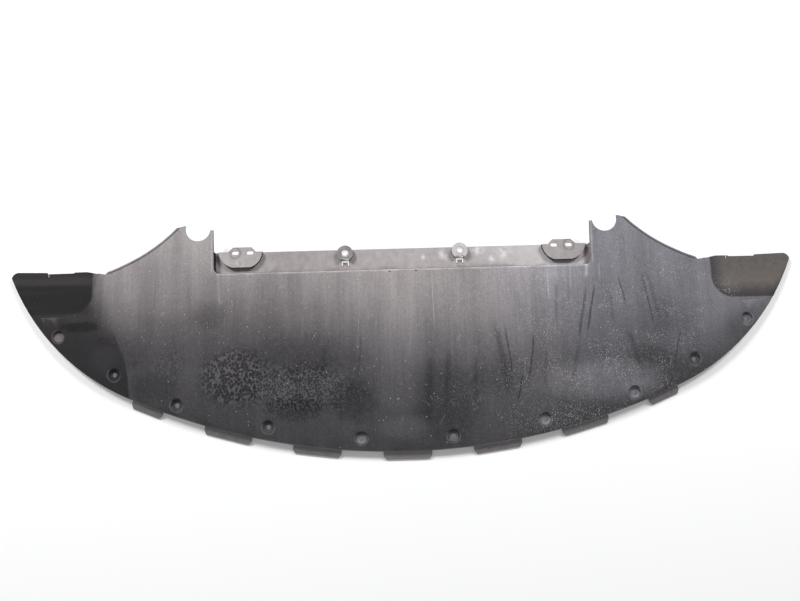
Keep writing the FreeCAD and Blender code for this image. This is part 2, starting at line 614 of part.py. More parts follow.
def hole_tool():
    """Everything that is open right through the sheet."""
    body = add_body("hole_tool")
    sketch = add_sketch(body, "hole_tool_outlines")
    for hand in (1, -1):
        draw_circle(sketch, f"{hand} * sizes.notch_x", "sizes.notch_y", "sizes.notch_radius")
        for index in range(1, 6):
            if hand < 0 and index == 1:
                continue    # the leftmost dish has a plain closed floor
            draw_circle(sketch, f"{hand} * sizes.dish_{index}_x", f"sizes.dish_{index}_y",
                        "sizes.dish_hole")
        for side in (-0.5, 0.5):
            draw_slot(sketch, f"{hand} * (sizes.bracket_x + {side} * sizes.slot_pitch)", "sizes.bracket_y",
                      "sizes.slot_length", "sizes.slot_width")
        nut = f"{hand} * sizes.nut_x"
        draw_circle(sketch, nut, "sizes.nut_y", "sizes.window_radius")
        slit_front = f"(sizes.boss_radius + {SLIT_PLAY})"
        draw_box(sketch, nut, f"sizes.nut_y - (sizes.slit_rear + {slit_front}) / 2", "sizes.slit_width",
                 f"({slit_front} - sizes.slit_rear)")
        draw_box(sketch, nut, f"sizes.nut_y - {CATCH_REAR} + sizes.catch_hole / 2", "sizes.catch_width",
                 "sizes.catch_hole")
        draw_box(sketch, f"{hand} * sizes.drain_x",
                 "sizes.recess_front_y - sizes.drain_gap - sizes.drain_width / 2",
                 "sizes.drain_length", "sizes.drain_width")
    for x, edge in (("sizes.split_left - sizes.rebate_outer_x", REBATE_Y),
                    ("sizes.rebate_inner_x - sizes.split_right", SHOULDER_Y)):
        draw_box(sketch, x, edge, "sizes.split_width", "2 * sizes.split_depth")
    draw_circle(sketch, "-sizes.rebate_outer_x - sizes.pin_out", f"{REBATE_Y} - sizes.pin_ahead",
                "sizes.pin_hole")
    add_pad(body, sketch, PRISM, both_ways=True)
    return body


def wall_trim():
    """Behind the flange the recess's side walls are cut away below the horns' inner edges."""
    body = add_body("wall_trim")
    below = f"({FLANGE_Z} - 2 * sizes.wall)"
    seat = FreeCAD.Placement(FreeCAD.Vector(0, 0, measure(below)), FreeCAD.Rotation())
    sketch = add_sketch(body, "wall_trim_outline", "XY_Plane", seat)
    sketch.setExpression("AttachmentOffset.Base.z", below)
    reach = "(sizes.horn_tip_y - sizes.flange_rear_y)"
    for hand in (1, -1):
        draw_box(sketch, f"{hand} * (sizes.recess_x + sizes.wall)", f"sizes.flange_rear_y + {reach} / 2",
                 "4 * sizes.wall", reach)
    add_pad(body, sketch, f"(-sizes.horn_lip - {below})")
    return body


def catches():
    """The wedge between each clip's prongs: it rises to the rear, where it stands over a hole."""
    body = add_body("catches")
    middle = FreeCAD.Placement(FreeCAD.Vector(0, 0, measure("sizes.nut_x")), FreeCAD.Rotation())
    sketch = add_sketch(body, "catch_profile", "YZ_Plane", middle)
    sketch.setExpression("AttachmentOffset.Base.z", "sizes.nut_x")
    rear = f"sizes.nut_y - {CATCH_REAR}"
    draw_outline(sketch, [
        corner(f"{rear} - sizes.catch_length", f"{FLANGE_Z} - {ROOT}"),
        corner(rear, f"{FLANGE_Z} - {ROOT}"),
        corner(rear, f"{FLANGE_Z} + sizes.catch_height"),
        corner(f"{rear} - sizes.catch_length", FLANGE_Z),
    ])
    pad = add_pad(body, sketch, f"sizes.catch_width - 2 * {CATCH_PLAY}", both_ways=True)
    mirror_features(body, "catch_pair", [pad])
    return body


def clip_nut(name):
    """A strip of spring steel under a round pad, with a threaded collar up through the window. Its front
    end comes out through the slit, steps down and lies on the flange as two prongs."""
    body = add_body(name)
    profile = add_sketch(body, f"{name}_profile", "YZ_Plane")
    gauge = "sizes.clip_gauge"
    upper = f"({PAD_Z} - sizes.wall - {PLAY})"
    lower = f"({FLANGE_Z} + {gauge} + {PLAY})"
    bend = "-(sizes.slit_rear + sizes.bend_ahead)"
    foot = "-(sizes.boss_radius - sizes.foot_behind)"
    end = "-sizes.prong_reach"
    draw_outline(profile, [
        corner(end, f"{lower} - {gauge}"),
        corner(foot, f"{lower} - {gauge}"),
        corner(f"{bend} - {BEND_EASE}", f"{upper} - {gauge}"),
        corner("sizes.clip_rear", f"{upper} - {gauge}"),
        corner("sizes.clip_rear", upper),
        corner(bend, upper),
        corner(f"{foot} + {BEND_EASE}", lower),
        corner(end, lower),
    ])
    add_pad(body, profile, "sizes.clip_width", both_ways=True)
    gap = add_sketch(body, f"{name}_gap")
    root = f"(sizes.catch_hole - {CATCH_REAR} - {PRONG_CLEAR})"
    past = f"({end} - sizes.wall)"
    draw_box(gap, "0", f"({root} + {past}) / 2", "(sizes.clip_width - 2 * sizes.prong_width)",
             f"({root} - {past})")
    add_pocket(body, gap, CUTTER)
    seat = FreeCAD.Placement(FreeCAD.Vector(0, 0, measure(upper)), FreeCAD.Rotation())
    collar = add_sketch(body, f"{name}_collar", "XY_Plane", seat)
    collar.setExpression("AttachmentOffset.Base.z", upper)
    draw_circle(collar, "0", "0", "sizes.collar_radius")
    add_pad(body, collar, "sizes.collar_height")
    bore = add_sketch(body, f"{name}_bore")
    draw_circle(bore, "0", "0", "sizes.nut_radius")
    add_pocket(body, bore, CUTTER)
    return body


def shield_panel():
    """The moulded sheet: the road-side form less the same form set one wall deeper."""
    face = form("face_form", "0", "0")
    rim = form("rim_form", "0", "sizes.rim_step")
    core = form("core_form", "sizes.wall", "sizes.wall")
    rim_core = form("rim_core_form", "sizes.wall", "sizes.wall + sizes.rim_step")
    pads = pad_plan()
    face_plan = fuse("face_plan", plan("face_outline", "sizes.rim_width"), pads)
    whole_plan = fuse("whole_plan", plan("whole_outline", "0"), pads,
                      tab_plan("middle_tabs", "sizes.tab_width", "sizes.tab_pitch", 5),
                      tab_plan("outer_tabs", "sizes.outer_tab_width", "(2 * sizes.outer_tab_angle)", 2))
    outer = fuse("outer_skin", common("face_skin", face, face_plan), common("rim_skin", rim, whole_plan))
    inner = fuse("inner_skin", common("core_skin", core, core_plan("core_outline", "sizes.wall")), rim_core)
    openings = fuse("openings", hole_tool(), wall_trim())
    pierced = cut("pierced_sheet", cut("moulded_sheet", outer, inner), openings)
    return fuse("shield_panel", pierced, catches())


panel = shield_panel()
nut_left = clip_nut("clip_nut_left")
nut_right = clip_nut("clip_nut_right")
doc.recompute()

# The parts are set down: the lowest point on the floor, the middle of the plan over the origin.

corners = panel.Shape.tessellate(0.2)[0]
lift = -min(spot.z for spot in corners)
shift = -(min(spot.y for spot in corners) + max(spot.y for spot in corners)) / 2
panel.Placement = FreeCAD.Placement(FreeCAD.Vector(0, shift, lift), FreeCAD.Rotation())
for nut, hand in ((nut_left, "-1"), (nut_right, "1")):
    nut.setExpression("Placement.Base.x", f"{hand} * sizes.nut_x")
    nut.setExpression("Placement.Base.y", f"sizes.nut_y + {shift}")
    nut.setExpression("Placement.Base.z", str(lift))
doc.recompute()

for item in doc.Objects:
    if "Invalid" in item.State or "Error" in item.State:
        raise RuntimeError(f"{item.Name} did not build: {item.State}")

os.makedirs("parts", exist_ok=True)
for item in (panel, nut_left, nut_right):
    item.Label = item.Name
    if item.Shape.isNull() or not item.Shape.isValid() or len(item.Shape.Solids) != 1:
        raise RuntimeError(f"{item.Name} is not one valid solid")
    item.Shape.exportStep(f"parts/{item.Name}.step")
    print(item.Name, round(item.Shape.Volume), "mm3")
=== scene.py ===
"""Engine splash shield: the moulded sheet's road dirt, its two spring-steel nuts and a plain studio,
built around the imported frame."""

import math

import bmesh
import bpy
import numpy as np
from mathutils import Matrix, Vector


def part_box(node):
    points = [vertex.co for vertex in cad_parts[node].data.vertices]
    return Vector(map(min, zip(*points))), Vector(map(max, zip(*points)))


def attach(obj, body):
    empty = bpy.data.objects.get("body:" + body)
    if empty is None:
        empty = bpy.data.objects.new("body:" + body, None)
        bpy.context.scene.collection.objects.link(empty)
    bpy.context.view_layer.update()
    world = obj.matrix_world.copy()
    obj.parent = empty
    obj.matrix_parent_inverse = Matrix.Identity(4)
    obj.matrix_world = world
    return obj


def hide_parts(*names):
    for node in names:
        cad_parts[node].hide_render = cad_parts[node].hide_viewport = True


bl_info = {
    "name": "Engine splash shield",
    "version": (1, 0, 0),
    "blender": (4, 5, 0),
    "location": "3D View > Sidebar > Splash shield",
    "description": "Dresses a moulded splash shield with road dust and sets it in a plain studio",
    "category": "Object",
}

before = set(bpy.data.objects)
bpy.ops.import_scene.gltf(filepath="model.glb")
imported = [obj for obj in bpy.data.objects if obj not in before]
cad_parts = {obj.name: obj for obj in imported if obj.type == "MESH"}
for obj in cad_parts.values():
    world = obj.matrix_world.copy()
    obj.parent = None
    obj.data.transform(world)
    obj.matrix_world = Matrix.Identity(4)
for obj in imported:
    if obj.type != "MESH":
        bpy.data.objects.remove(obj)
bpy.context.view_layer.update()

MM = 0.001

# Heights in the frame: the sheet's road face, the band below it where the flange and its pads begin, and the
# band between the flange and the tops of its pads.
FACE_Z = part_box("shield_panel")[1].z
LOW_FROM = FACE_Z - 6 * MM
LOW_TO = FACE_Z - 8 * MM
PAD_FROM = FACE_Z - 13 * MM
PAD_TO = FACE_Z - 10 * MM

# Places on the sheet, as the frame has them.
FRONT_RADIUS = 1.440
FRONT_CENTRE_Y = 1.202
CREASE_X = 0.590
RECESS_X = 0.405
RECESS_FRONT_Y = 0.1495
FIELD_CORNER = (0.717, 0.115)
FIELD_CORNER_RADIUS = 0.045
SWEEP_CENTRE = (0.743, 0.499)
SWEEP_RADIUS = 0.355
SWEEP_END_X = 0.636
SWEEP_FROM_Y = 0.150
TABS_END_X = 0.62
DISHES = ((0.742, 0.023), (0.6185, -0.0615), (0.486, -0.129), (0.2925, -0.1795), (0.097, -0.2085))
DISH_RADIUS = 0.014
BRACKET = (0.346, 0.194)
SLOT_HALF_PITCH = 0.016
WASHER_RADIUS = 0.0115
NUT = (0.1245, 0.1875)
BOSS_RADIUS = 0.0175

# A nut's thread: how far its top lies below the nut's, its length, and its points around and along.
THREAD_TOP = 0.3 * MM
THREAD_LENGTH = 4.8 * MM
THREAD_AROUND = 72
THREAD_ALONG = 64

# The CAD meshes: points closer than this are joined, faces within this angle merged, and edges above
# these angles stay sharp. Angles are in degrees.
JOIN_DISTANCE = 2e-6
FLAT_ANGLE = 0.4
SHEET_SHARP = 32.0
STEEL_SHARP = 30.0

# The studio: half the floor's width, the right lamp's place, and the rays that see the room as white.
FLOOR_HALF = 9.0
LAMP_SPOT = (2.5, 3.1, 2.6)
WHITE_RAYS = ("Camera", "Glossy", "Transmission")

# The photograph's camera: its place, what lies to the right and above in its picture, and its lens.
CAMERA_SPOT = (-0.0199, -0.0819, 1.35428)
CAMERA_RIGHT = (0.999595, -0.027906, 0.005507)
CAMERA_ABOVE = (0.027026, 0.992154, 0.122063)
LENS_MM = 28.035
SENSOR_MM = 36.0


class SheetLook(bpy.types.PropertyGroup):
    bare: bpy.props.FloatVectorProperty(
        name="Bare plastic", description="Colour of the clean moulded plastic", subtype="COLOR",
        size=3, min=0.0, max=1.0, default=(0.0108, 0.0100, 0.0110))
    dust: bpy.props.FloatVectorProperty(
        name="Road dust", description="Colour of the dry dust film", subtype="COLOR",
        size=3, min=0.0, max=1.0, default=(0.425, 0.400, 0.408))
    soil: bpy.props.FloatVectorProperty(
        name="Dried soil", description="Colour of the brown soil that lies in corners", subtype="COLOR",
        size=3, min=0.0, max=1.0, default=(0.20, 0.175, 0.150))
    grit: bpy.props.FloatVectorProperty(
        name="Grit", description="Colour of the pale grit and chips", subtype="COLOR",
        size=3, min=0.0, max=1.0, default=(0.68, 0.67, 0.67))


class NutLook(bpy.types.PropertyGroup):
    steel: bpy.props.FloatVectorProperty(
        name="Spring steel", description="Colour of the plated spring steel", subtype="COLOR",
        size=3, min=0.0, max=1.0, default=(0.80, 0.79, 0.77))
    grime: bpy.props.FloatVectorProperty(
        name="Grime", description="Colour of the dirt in the steel's blotches", subtype="COLOR",
        size=3, min=0.0, max=1.0, default=(0.23, 0.20, 0.17))
    edge_round: bpy.props.FloatProperty(
        name="Edge rounding", description="Width of the strip's rounded edges", unit="LENGTH",
        min=0.00005, max=0.0005, default=0.00018)
    thread_radius: bpy.props.FloatProperty(
        name="Thread radius", description="Inside radius of the collar that carries the thread",
        unit="LENGTH", min=0.002, max=0.008, default=0.00425)
    thread_pitch: bpy.props.FloatProperty(
        name="Thread pitch", description="Rise of the thread in one turn", unit="LENGTH",
        min=0.0005, max=0.003, default=0.0015)
    thread_depth: bpy.props.FloatProperty(
        name="Thread depth", description="How far the thread stands into the bore", unit="LENGTH",
        min=0.0002, max=0.001, default=0.0005)


class StudioLook(bpy.types.PropertyGroup):
    floor: bpy.props.FloatVectorProperty(
        name="Floor", description="Colour of the studio floor", subtype="COLOR",
        size=3, min=0.0, max=1.0, default=(0.96, 0.965, 0.965))
    lamp_power: bpy.props.FloatProperty(
        name="Lamps", description="Power of the two lamps behind the sheet together", unit="POWER",
        min=0.0, max=2000.0, default=364.0)
    left_share: bpy.props.FloatProperty(
        name="Left share", description="Part of the two lamps' power that the left one gives",
        min=0.0, max=1.0, default=0.56)
    lamp_size: bpy.props.FloatProperty(
        name="Lamp size", description="Side of each square lamp", unit="LENGTH",
        min=0.1, max=3.0, default=1.1)
    sky: bpy.props.FloatProperty(
        name="Room light", description="Strength of the even light of the room", min=0.0, max=2.0,
        default=0.26)
    floor_glow: bpy.props.FloatProperty(
        name="Floor glow", description="Share of plain white in the floor that the camera sees",
        min=0.0, max=1.0, default=0.14)


class Wire:
    """One shader value. Python arithmetic on it adds the Math nodes."""

    def __init__(self, paint, socket):
        self.paint = paint
        self.socket = socket

    def maths(self, operation, first, second=0.0):
        return self.paint.node("ShaderNodeMath", {"operation": operation}, {0: first, 1: second})

    def __add__(self, other):
        return self.maths("ADD", self, other)

    def __sub__(self, other):
        return self.maths("SUBTRACT", self, other)

    def __rsub__(self, other):
        return self.maths("SUBTRACT", other, self)

    def __mul__(self, other):
        return self.maths("MULTIPLY", self, other)

    def __pow__(self, other):
        return self.maths("POWER", self, other)

    def __abs__(self):
        return self.maths("ABSOLUTE", self)

    __radd__ = __add__

    def least(self, other):
        return self.maths("MINIMUM", self, other)

    def most(self, other):
        return self.maths("MAXIMUM", self, other)

    def step(self, low, high):
        """0 at low, 1 at high and smooth between; low may be the larger of the two."""
        return self.paint.node("ShaderNodeMapRange", {"interpolation_type": "SMOOTHSTEP"},
                               {"Value": self, "From Min": low, "From Max": high})

    def near(self, centre, reach):
        """1 at centre, falling smoothly to 0 at reach on either side."""
        return abs(self - centre).step(reach, 0.0)


class Paint:
    """A material whose nodes are added one expression at a time."""

    def __init__(self, name):
        self.material = bpy.data.materials.new(name)
        self.material.use_nodes = True
        self.tree = self.material.node_tree
        self.tree.nodes.clear()
        self.output = self.tree.nodes.new("ShaderNodeOutputMaterial")
        self.place = self.node("ShaderNodeTexCoord", output="Object")
        self.x = self.node("ShaderNodeSeparateXYZ", inputs={0: self.place}, output="X")
        self.y = self.node("ShaderNodeSeparateXYZ", inputs={0: self.place}, output="Y")
        self.z = self.node("ShaderNodeSeparateXYZ", inputs={0: self.place}, output="Z")

    def node(self, kind, settings=None, inputs=None, output=0):
        """Adds a node of a kind: first its settings, then its sockets' values or links."""
        node = self.tree.nodes.new(kind)
        for name, value in (settings or {}).items():
            setattr(node, name, value)
        for key, value in (inputs or {}).items():
            if isinstance(value, Wire):
                self.tree.links.new(value.socket, node.inputs[key])
            else:
                node.inputs[key].default_value = value
        return Wire(self, node.outputs[output])

    def stretched(self, per_metre, shift):
        """The place, scaled and shifted, for a pattern's coordinates."""
        return self.node("ShaderNodeMapping", inputs={
            "Vector": self.place, "Location": shift, "Scale": per_metre})

    def noise(self, per_metre, detail=2.0, shift=(0.0, 0.0, 0.0)):
        return self.node("ShaderNodeTexNoise", inputs={
            "Vector": self.stretched(per_metre, shift), "Scale": 1.0, "Detail": detail})

    def cells(self, per_metre, shift=(0.0, 0.0, 0.0)):
        """A scattered cell pattern: the distance from the nearest middle, and a number for each cell."""
        inputs = {"Vector": self.stretched(per_metre, shift), "Scale": 1.0}
        colour = self.node("ShaderNodeTexVoronoi", inputs=inputs, output="Color")
        return (self.node("ShaderNodeTexVoronoi", inputs=inputs, output="Distance"),
                self.node("ShaderNodeSeparateColor", inputs={0: colour}, output="Red"))

    def specks(self, per_metre, size, share, shift=(0.0, 0.0, 0.0)):
        """Small marks at the middles of a share of the cells of a scattered pattern."""
        distance, chance = self.cells(per_metre, shift)
        return distance.step(size, size * 0.4) * chance.step(1.0 - share, 1.0 - share * 0.5)

    def radius_about(self, x, y):
        """Distance in plan from a point."""
        return length(self.x - x, self.y - y)

    def disc(self, x, y, radius, soft):
        """1 inside a circle in plan."""
        return self.radius_about(x, y).step(radius + soft, radius - soft)

    def blend(self, factor, first, second):
        """A colour mixed from two colours."""
        return self.node("ShaderNodeMix", {"data_type": "RGBA"}, {0: factor, 6: first, 7: second}, output=2)

    def finish(self, shader):
        self.tree.links.new(shader.socket, self.output.inputs["Surface"])
        return self.material


def rgba(colour, level=1.0):
    return (colour[0] * level, colour[1] * level, colour[2] * level, 1.0)


def length(across, along):
    return (across ** 2.0 + along ** 2.0) ** 0.5


def union(masks):
    """The strongest of several masks. They come from a generator, so that each is compared as soon as its
    nodes are there: a renderer's shader memory holds only so many values that wait."""
    total = next(masks)
    for mask in masks:
        total = total.most(mask)
    return total


# Dark wiped bands in the dust: x and y of the upper end, x and y of the lower end, half width, strength.
WIPES = (
    (0.193, 0.037, 0.219, -0.136, 0.0128, 0.43),
    (0.215, 0.028, 0.226, -0.107, 0.0030, 0.69),
    (0.277, 0.009, 0.259, -0.108, 0.0040, 0.62),
    (0.249, -0.079, 0.232, -0.145, 0.0034, 0.70),
    (0.392, 0.105, 0.368, -0.019, 0.0050, 0.53),
    (0.410, 0.111, 0.387, -0.006, 0.0036, 0.69),
    (0.369, -0.010, 0.349, -0.107, 0.0070, 0.35),
    (0.460, 0.129, 0.474, 0.051, 0.0032, 0.53),
    (0.511, 0.137, 0.533, -0.002, 0.0034, 0.50),
    (0.524, 0.132, 0.545, 0.023, 0.0080, 0.28),
    (0.589, 0.009, 0.566, -0.075, 0.0034, 0.47),
    (0.476, 0.008, 0.500, -0.090, 0.0100, 0.40),
    (0.090, -0.017, 0.079, -0.174, 0.0110, 0.38),
    (0.052, -0.027, 0.043, -0.193, 0.0150, 0.38),
    (-0.091, 0.019, -0.101, -0.096, 0.0045, 0.30),
    (-0.169, -0.010, -0.179, -0.079, 0.0090, 0.33),
    (0.150, -0.030, 0.142, -0.150, 0.0080, 0.32),
    (0.330, 0.120, 0.322, 0.020, 0.0070, 0.28),
    (0.245, 0.100, 0.252, 0.010, 0.0120, 0.20),
    (0.300, -0.020, 0.292, -0.120, 0.0060, 0.30),
    (0.440, 0.090, 0.448, 0.010, 0.0060, 0.30),
)

# Pale run marks and scratches: the same six numbers.
RUNS = (
    (0.061, 0.160, 0.064, 0.011, 0.0017, 0.60),
    (0.310, 0.146, 0.310, 0.068, 0.0019, 0.70),
    (0.397, 0.166, 0.393, 0.116, 0.0060, 0.90),
    (0.359, 0.156, 0.359, 0.089, 0.0026, 0.55),
    (-0.397, 0.160, -0.392, 0.070, 0.0043, 0.30),
    (0.102, 0.040, 0.098, -0.062, 0.0017, 0.22),
    (-0.215, 0.066, -0.218, -0.009, 0.0017, 0.16),
    (-0.093, 0.084, -0.102, -0.023, 0.0017, 0.20),
    (0.019, 0.113, 0.009, -0.047, 0.0017, 0.22),
    (0.038, -0.131, 0.050, -0.148, 0.0011, 0.55),
    (0.081, -0.159, 0.068, -0.184, 0.0011, 0.55),
    (0.421, 0.152, 0.423, 0.113, 0.0026, 0.50),
)

# The share of a band's length over which each of its ends fades.
BAND_FADE = 0.24

# Cloudy patches, with more dust or less: x, y, half width, half height, change of the film.
SMUDGES = (
    (-0.236, -0.140, 0.085, 0.036, -0.06),
    (-0.110, -0.128, 0.062, 0.058, -0.07),
    (-0.413, 0.062, 0.047, 0.038, -0.06),
    (-0.533, -0.090, 0.068, 0.038, -0.04),
    (0.076, -0.124, 0.110, 0.105, -0.05),
    (0.518, -0.050, 0.055, 0.035, -0.05),
    (0.198, -0.077, 0.077, 0.064, -0.05),
    (0.726, 0.008, 0.053, 0.047, -0.04),
    (0.560, 0.030, 0.090, 0.050, -0.05),
    (-0.210, -0.030, 0.150, 0.065, -0.05),
    (-0.011, -0.029, 0.060, 0.170, 0.08),
    (-0.509, 0.102, 0.128, 0.054, 0.06),
    (-0.005, -0.188, 0.072, 0.030, 0.07),
    (0.655, 0.060, 0.080, 0.080, 0.09),
    (-0.600, -0.010, 0.077, 0.062, -0.04),
    (0.425, -0.100, 0.180, 0.058, 0.20),
    (0.620, -0.020, 0.110, 0.050, 0.05),
    (0.142, 0.077, 0.128, 0.085, 0.03),
    (0.338, 0.141, 0.128, 0.030, 0.06),
    (0.492, -0.111, 0.051, 0.021, 0.08),
)

# The same on the dark left wing.
WING_SMUDGES = (
    (-0.690, 0.043, 0.060, 0.014, -0.040),
    (-0.610, 0.010, 0.050, 0.020, -0.020),
    (-0.700, 0.060, 0.050, 0.014, 0.015),
    (-0.640, -0.030, 0.040, 0.040, 0.020),
)

# Pale patches on the flange: x, y, radius.
FLANGE_PATCHES = (
    (0.045, 0.176, 0.006), (0.089, 0.180, 0.013), (0.165, 0.189, 0.014), (0.222, 0.182, 0.015),
    (0.195, 0.170, 0.008), (-0.352, 0.170, 0.010),
)

# Dust on the floors of single dishes: x, y, film.
DISH_FLOORS = (
    (-0.742, 0.023, 0.30), (-0.097, -0.2085, 0.34), (0.097, -0.2085, 0.16), (0.2925, -0.1795, 0.32),
    (0.742, 0.023, 0.10), (0.486, -0.129, 0.22),
)


def band(paint, mark, wander):
    """A soft band between a mark's two ends: its middle line runs straight and is moved by wander."""
    x_top, y_top, x_low, y_low, half, strength = mark
    slope = (x_top - x_low) / (y_top - y_low)
    across = paint.x - paint.y * slope - (x_low - slope * y_low) + wander
    fade = (y_top - y_low) * BAND_FADE
    ends = paint.y.step(y_low, y_low + fade) * paint.y.step(y_top, y_top - fade)
    return across.near(0.0, half) * ends * strength


def smudge(paint, mark, warp):
    """A soft oval patch whose edge is moved by warp."""
    x, y, half_width, half_height, change = mark
    across = (paint.x - x) * (1.0 / half_width)
    along = (paint.y - y) * (1.0 / half_height)
    return (across ** 2.0 + along ** 2.0 + warp).step(1.0, 0.0) * change


class SheetPaint(Paint):
    """The moulded sheet's masks, dust patterns and painted light, by the place on it."""

    def __init__(self):
        # The sheet's colour holds dust and painted light: sheen, shadow and highlights.
        super().__init__("moulded_plastic_dust_and_painted_light")
        self.side = abs(self.x)
        self.low = self.z.step(LOW_FROM, LOW_TO)
        self.past_front = self.radius_about(0.0, FRONT_CENTRE_Y) - FRONT_RADIUS
        self.fine_streaks = self.noise((230.0, 6.0, 1.0), 3.0)
        self.broad_streaks = self.noise((30.0, 3.4, 1.0), 3.0, (3.0, 1.0, 0.0))
        self.clouds = self.noise((6.0, 4.5, 1.0), 4.0, (7.0, 2.0, 0.0))
        self.mottle = self.noise((75.0, 62.0, 1.0), 3.0, (1.0, 5.0, 0.0))
        self.fleck = self.noise((270.0, 240.0, 40.0), 2.0, (2.0, 7.0, 0.0))
        self.powder = self.noise((560.0, 520.0, 60.0), 2.0, (9.0, 3.0, 0.0))
        self.upward = self.facing_up()
        self.flange = self.in_recess()
        self.face = 1.0 - self.flange
        self.field = self.wing_field(3.0 * MM)
        self.right_field = self.field * self.x.step(0.0, 0.1)
        self.left_field = self.field * self.x.step(0.0, -0.1)
        self.field_edge = (FIELD_CORNER[0] + 0.03 - self.x).step(0.0, 0.06) * self.y.step(0.13, 0.08)
        self.tabs = self.past_front.step(0.2 * MM, 1.0 * MM) * self.side.step(TABS_END_X, TABS_END_X - 0.02)

    def facing_up(self):
        """1 where the surface lies flat enough to hold dust."""
        normal = self.node("ShaderNodeNewGeometry", output="Normal")
        return self.node("ShaderNodeSeparateXYZ", inputs={0: normal}, output="Z").step(0.35, 0.85)

    def in_recess(self):
        """1 on the flange and its pads."""
        inside = self.side.step(RECESS_X + 0.002, RECESS_X)
        return inside * self.y.step(RECESS_FRONT_Y - 0.001, RECESS_FRONT_Y + 0.002) * self.low

    def wing_field(self, soft):
        """1 on the two sunken fields at the wings' rear, whose inner front corner is round."""
        inward = (FIELD_CORNER[0] - self.side).most(0.0)
        forward = (FIELD_CORNER[1] - self.y).most(0.0)
        return length(inward, forward).step(FIELD_CORNER_RADIUS + 1.0 * MM, FIELD_CORNER_RADIUS - soft)

    def left_wing(self):
        """1 on the left wing, which is kept dark: a crisp line at the crease, lost in a soft one farther back.
        """
        past = self.x + CREASE_X - 0.002 + self.y.step(-0.07, 0.15) * 0.070 + (self.mottle - 0.5) * 0.004
        back = self.y.step(-0.04, 0.06)
        return past.step(0.003, -0.003) * (1.0 - back) + past.step(0.030, -0.045) * back

    def open_face_dust_and_sheen(self):
        """The film between the wings, wiped, run and clouded: dust, and a painted sheen that makes it thick
        behind, thin in front and thinner on the right.
        """
        wander = (self.noise((6.0, 9.0, 1.0), 2.0, (2.0, 4.0, 0.0)) - 0.5) * 0.012
        left = self.x.step(0.00, -0.30)
        # Painted sheen and shade: the film thickens towards the rear and thins towards the front.
        film = 0.12 + (self.y - left * 0.070).step(-0.11, 0.19) * 0.57 + self.x.step(0.05, 0.32) * 0.06
        # Painted sheen: the film thins towards the right, where less light is reflected.
        film = film * (1.0 - self.x.step(0.12, 0.56) * 0.43)
        warp = (self.mottle - 0.5) * 0.8 + (self.clouds - 0.5) * 0.8
        for mark in SMUDGES:
            film = film + smudge(self, mark, warp)
        uneven = 0.08 + self.clouds * 0.60 + self.broad_streaks * 0.68 + self.fine_streaks * 0.38
        film = film * (uneven + self.mottle * 0.24)
        film = film * (1.0 - union(band(self, mark, wander) for mark in WIPES))
        return film + union(band(self, mark, wander * 0.1) for mark in RUNS) * 0.45

    def drops(self):
        """Marks of dried drops left of the middle, coarse at the left and finer towards the middle."""
        coarse = self.cells((190.0, 160.0, 1.0), (4.0, 9.0, 0.0))[0]
        fine = self.cells((270.0, 240.0, 1.0), (8.0, 1.0, 0.0))[0]
        coarse_spot = length(self.x + 0.360, (self.y + 0.074) * 1.14)
        fine_spot = length((self.x + 0.225) * 0.71, (self.y + 0.100) * 1.41)
        far_spot = self.radius_about(-0.500, -0.040)
        dark_fine = 0.42 - fine.step(0.80, 0.30)
        marks = (0.44 - coarse.step(0.82, 0.36)) * coarse_spot.step(0.092, 0.045) * 0.17
        marks = marks + dark_fine * fine_spot.step(0.115, 0.030) * 0.15
        return marks + dark_fine * far_spot.step(0.060, 0.010) * 0.08

    def face_dust_and_sheen(self):
        """The film over the whole road face: dust with its painted sheen, and the left wing kept dark."""
        powdery = 1.0 + (self.fleck - 0.5) * 0.5 + (self.powder - 0.5) * 0.6
        film = (self.open_face_dust_and_sheen() + self.drops()) * powdery
        # The left wing is kept nearly bare and dark.
        left_wing_tone = 0.032 + (self.clouds - 0.5) * 0.05 + (self.powder - 0.5) * 0.04
        for mark in WING_SMUDGES:
            left_wing_tone = left_wing_tone + smudge(self, mark, (self.mottle - 0.5) * 0.9)
        left = self.left_wing()
        return film * (1.0 - left) + left_wing_tone.most(0.0) * left

    def flange_film(self):
        """The film on the flange: thick, more so to the right, with white patches. The left round pad and
        the right bracket pad are cleaner, the right round pad whiter."""
        film = 0.78 + self.x.step(-0.10, 0.38) * 0.40 + (self.clouds - 0.5) * 0.60
        film = film + (self.mottle - 0.5) * 0.45 + (self.powder - 0.5) * 0.30
        patches = union(self.disc(x, y, radius * 0.7, radius * 0.6) for x, y, radius in FLANGE_PATCHES)
        film = film + patches * self.mottle.step(0.34, 0.62) * 0.55
        left_boss = self.disc(-NUT[0], NUT[1], BOSS_RADIUS, 0.0004)
        right_boss = self.disc(NUT[0], NUT[1], BOSS_RADIUS, 0.0004)
        right_pad = self.z.step(PAD_FROM, PAD_TO) * self.x.step(0.26, 0.28)
        return film - left_boss * 0.22 + right_boss * 0.30 - right_pad * 0.38

    def edge_dust_and_highlights(self):
        """Pale lines along the front edge, partly dust and partly a painted highlight, and painted highlights
        along the recess's rounded upper edge and the horns' inner walls, where these catch the light.
        """
        # Dust and a painted highlight along the front edge.
        front = abs(self.past_front + 0.8 * MM).step(2.0 * MM, 0.4 * MM)
        front = front * self.side.step(CREASE_X, CREASE_X - 0.004)
        patchy = self.noise((26.0, 9.0, 1.0), 3.0, (2.0, 2.0, 0.0)).step(0.40, 0.62)
        # Painted highlights: the recess's rounded upper edge and the horns' inner walls.
        recess = abs(self.y - (RECESS_FRONT_Y - 3.2 * MM)).step(3.0 * MM, 0.6 * MM) \
            * self.side.step(RECESS_X, RECESS_X - 0.01) * (0.05 + patchy * 0.20)
        recess_side = abs(self.side - (RECESS_X + 5.0 * MM)).step(3.2 * MM, 0.8 * MM) \
            * self.y.step(RECESS_FRONT_Y - 0.004, RECESS_FRONT_Y + 0.010) * 0.20
        return front * 0.14 + recess.most(recess_side)

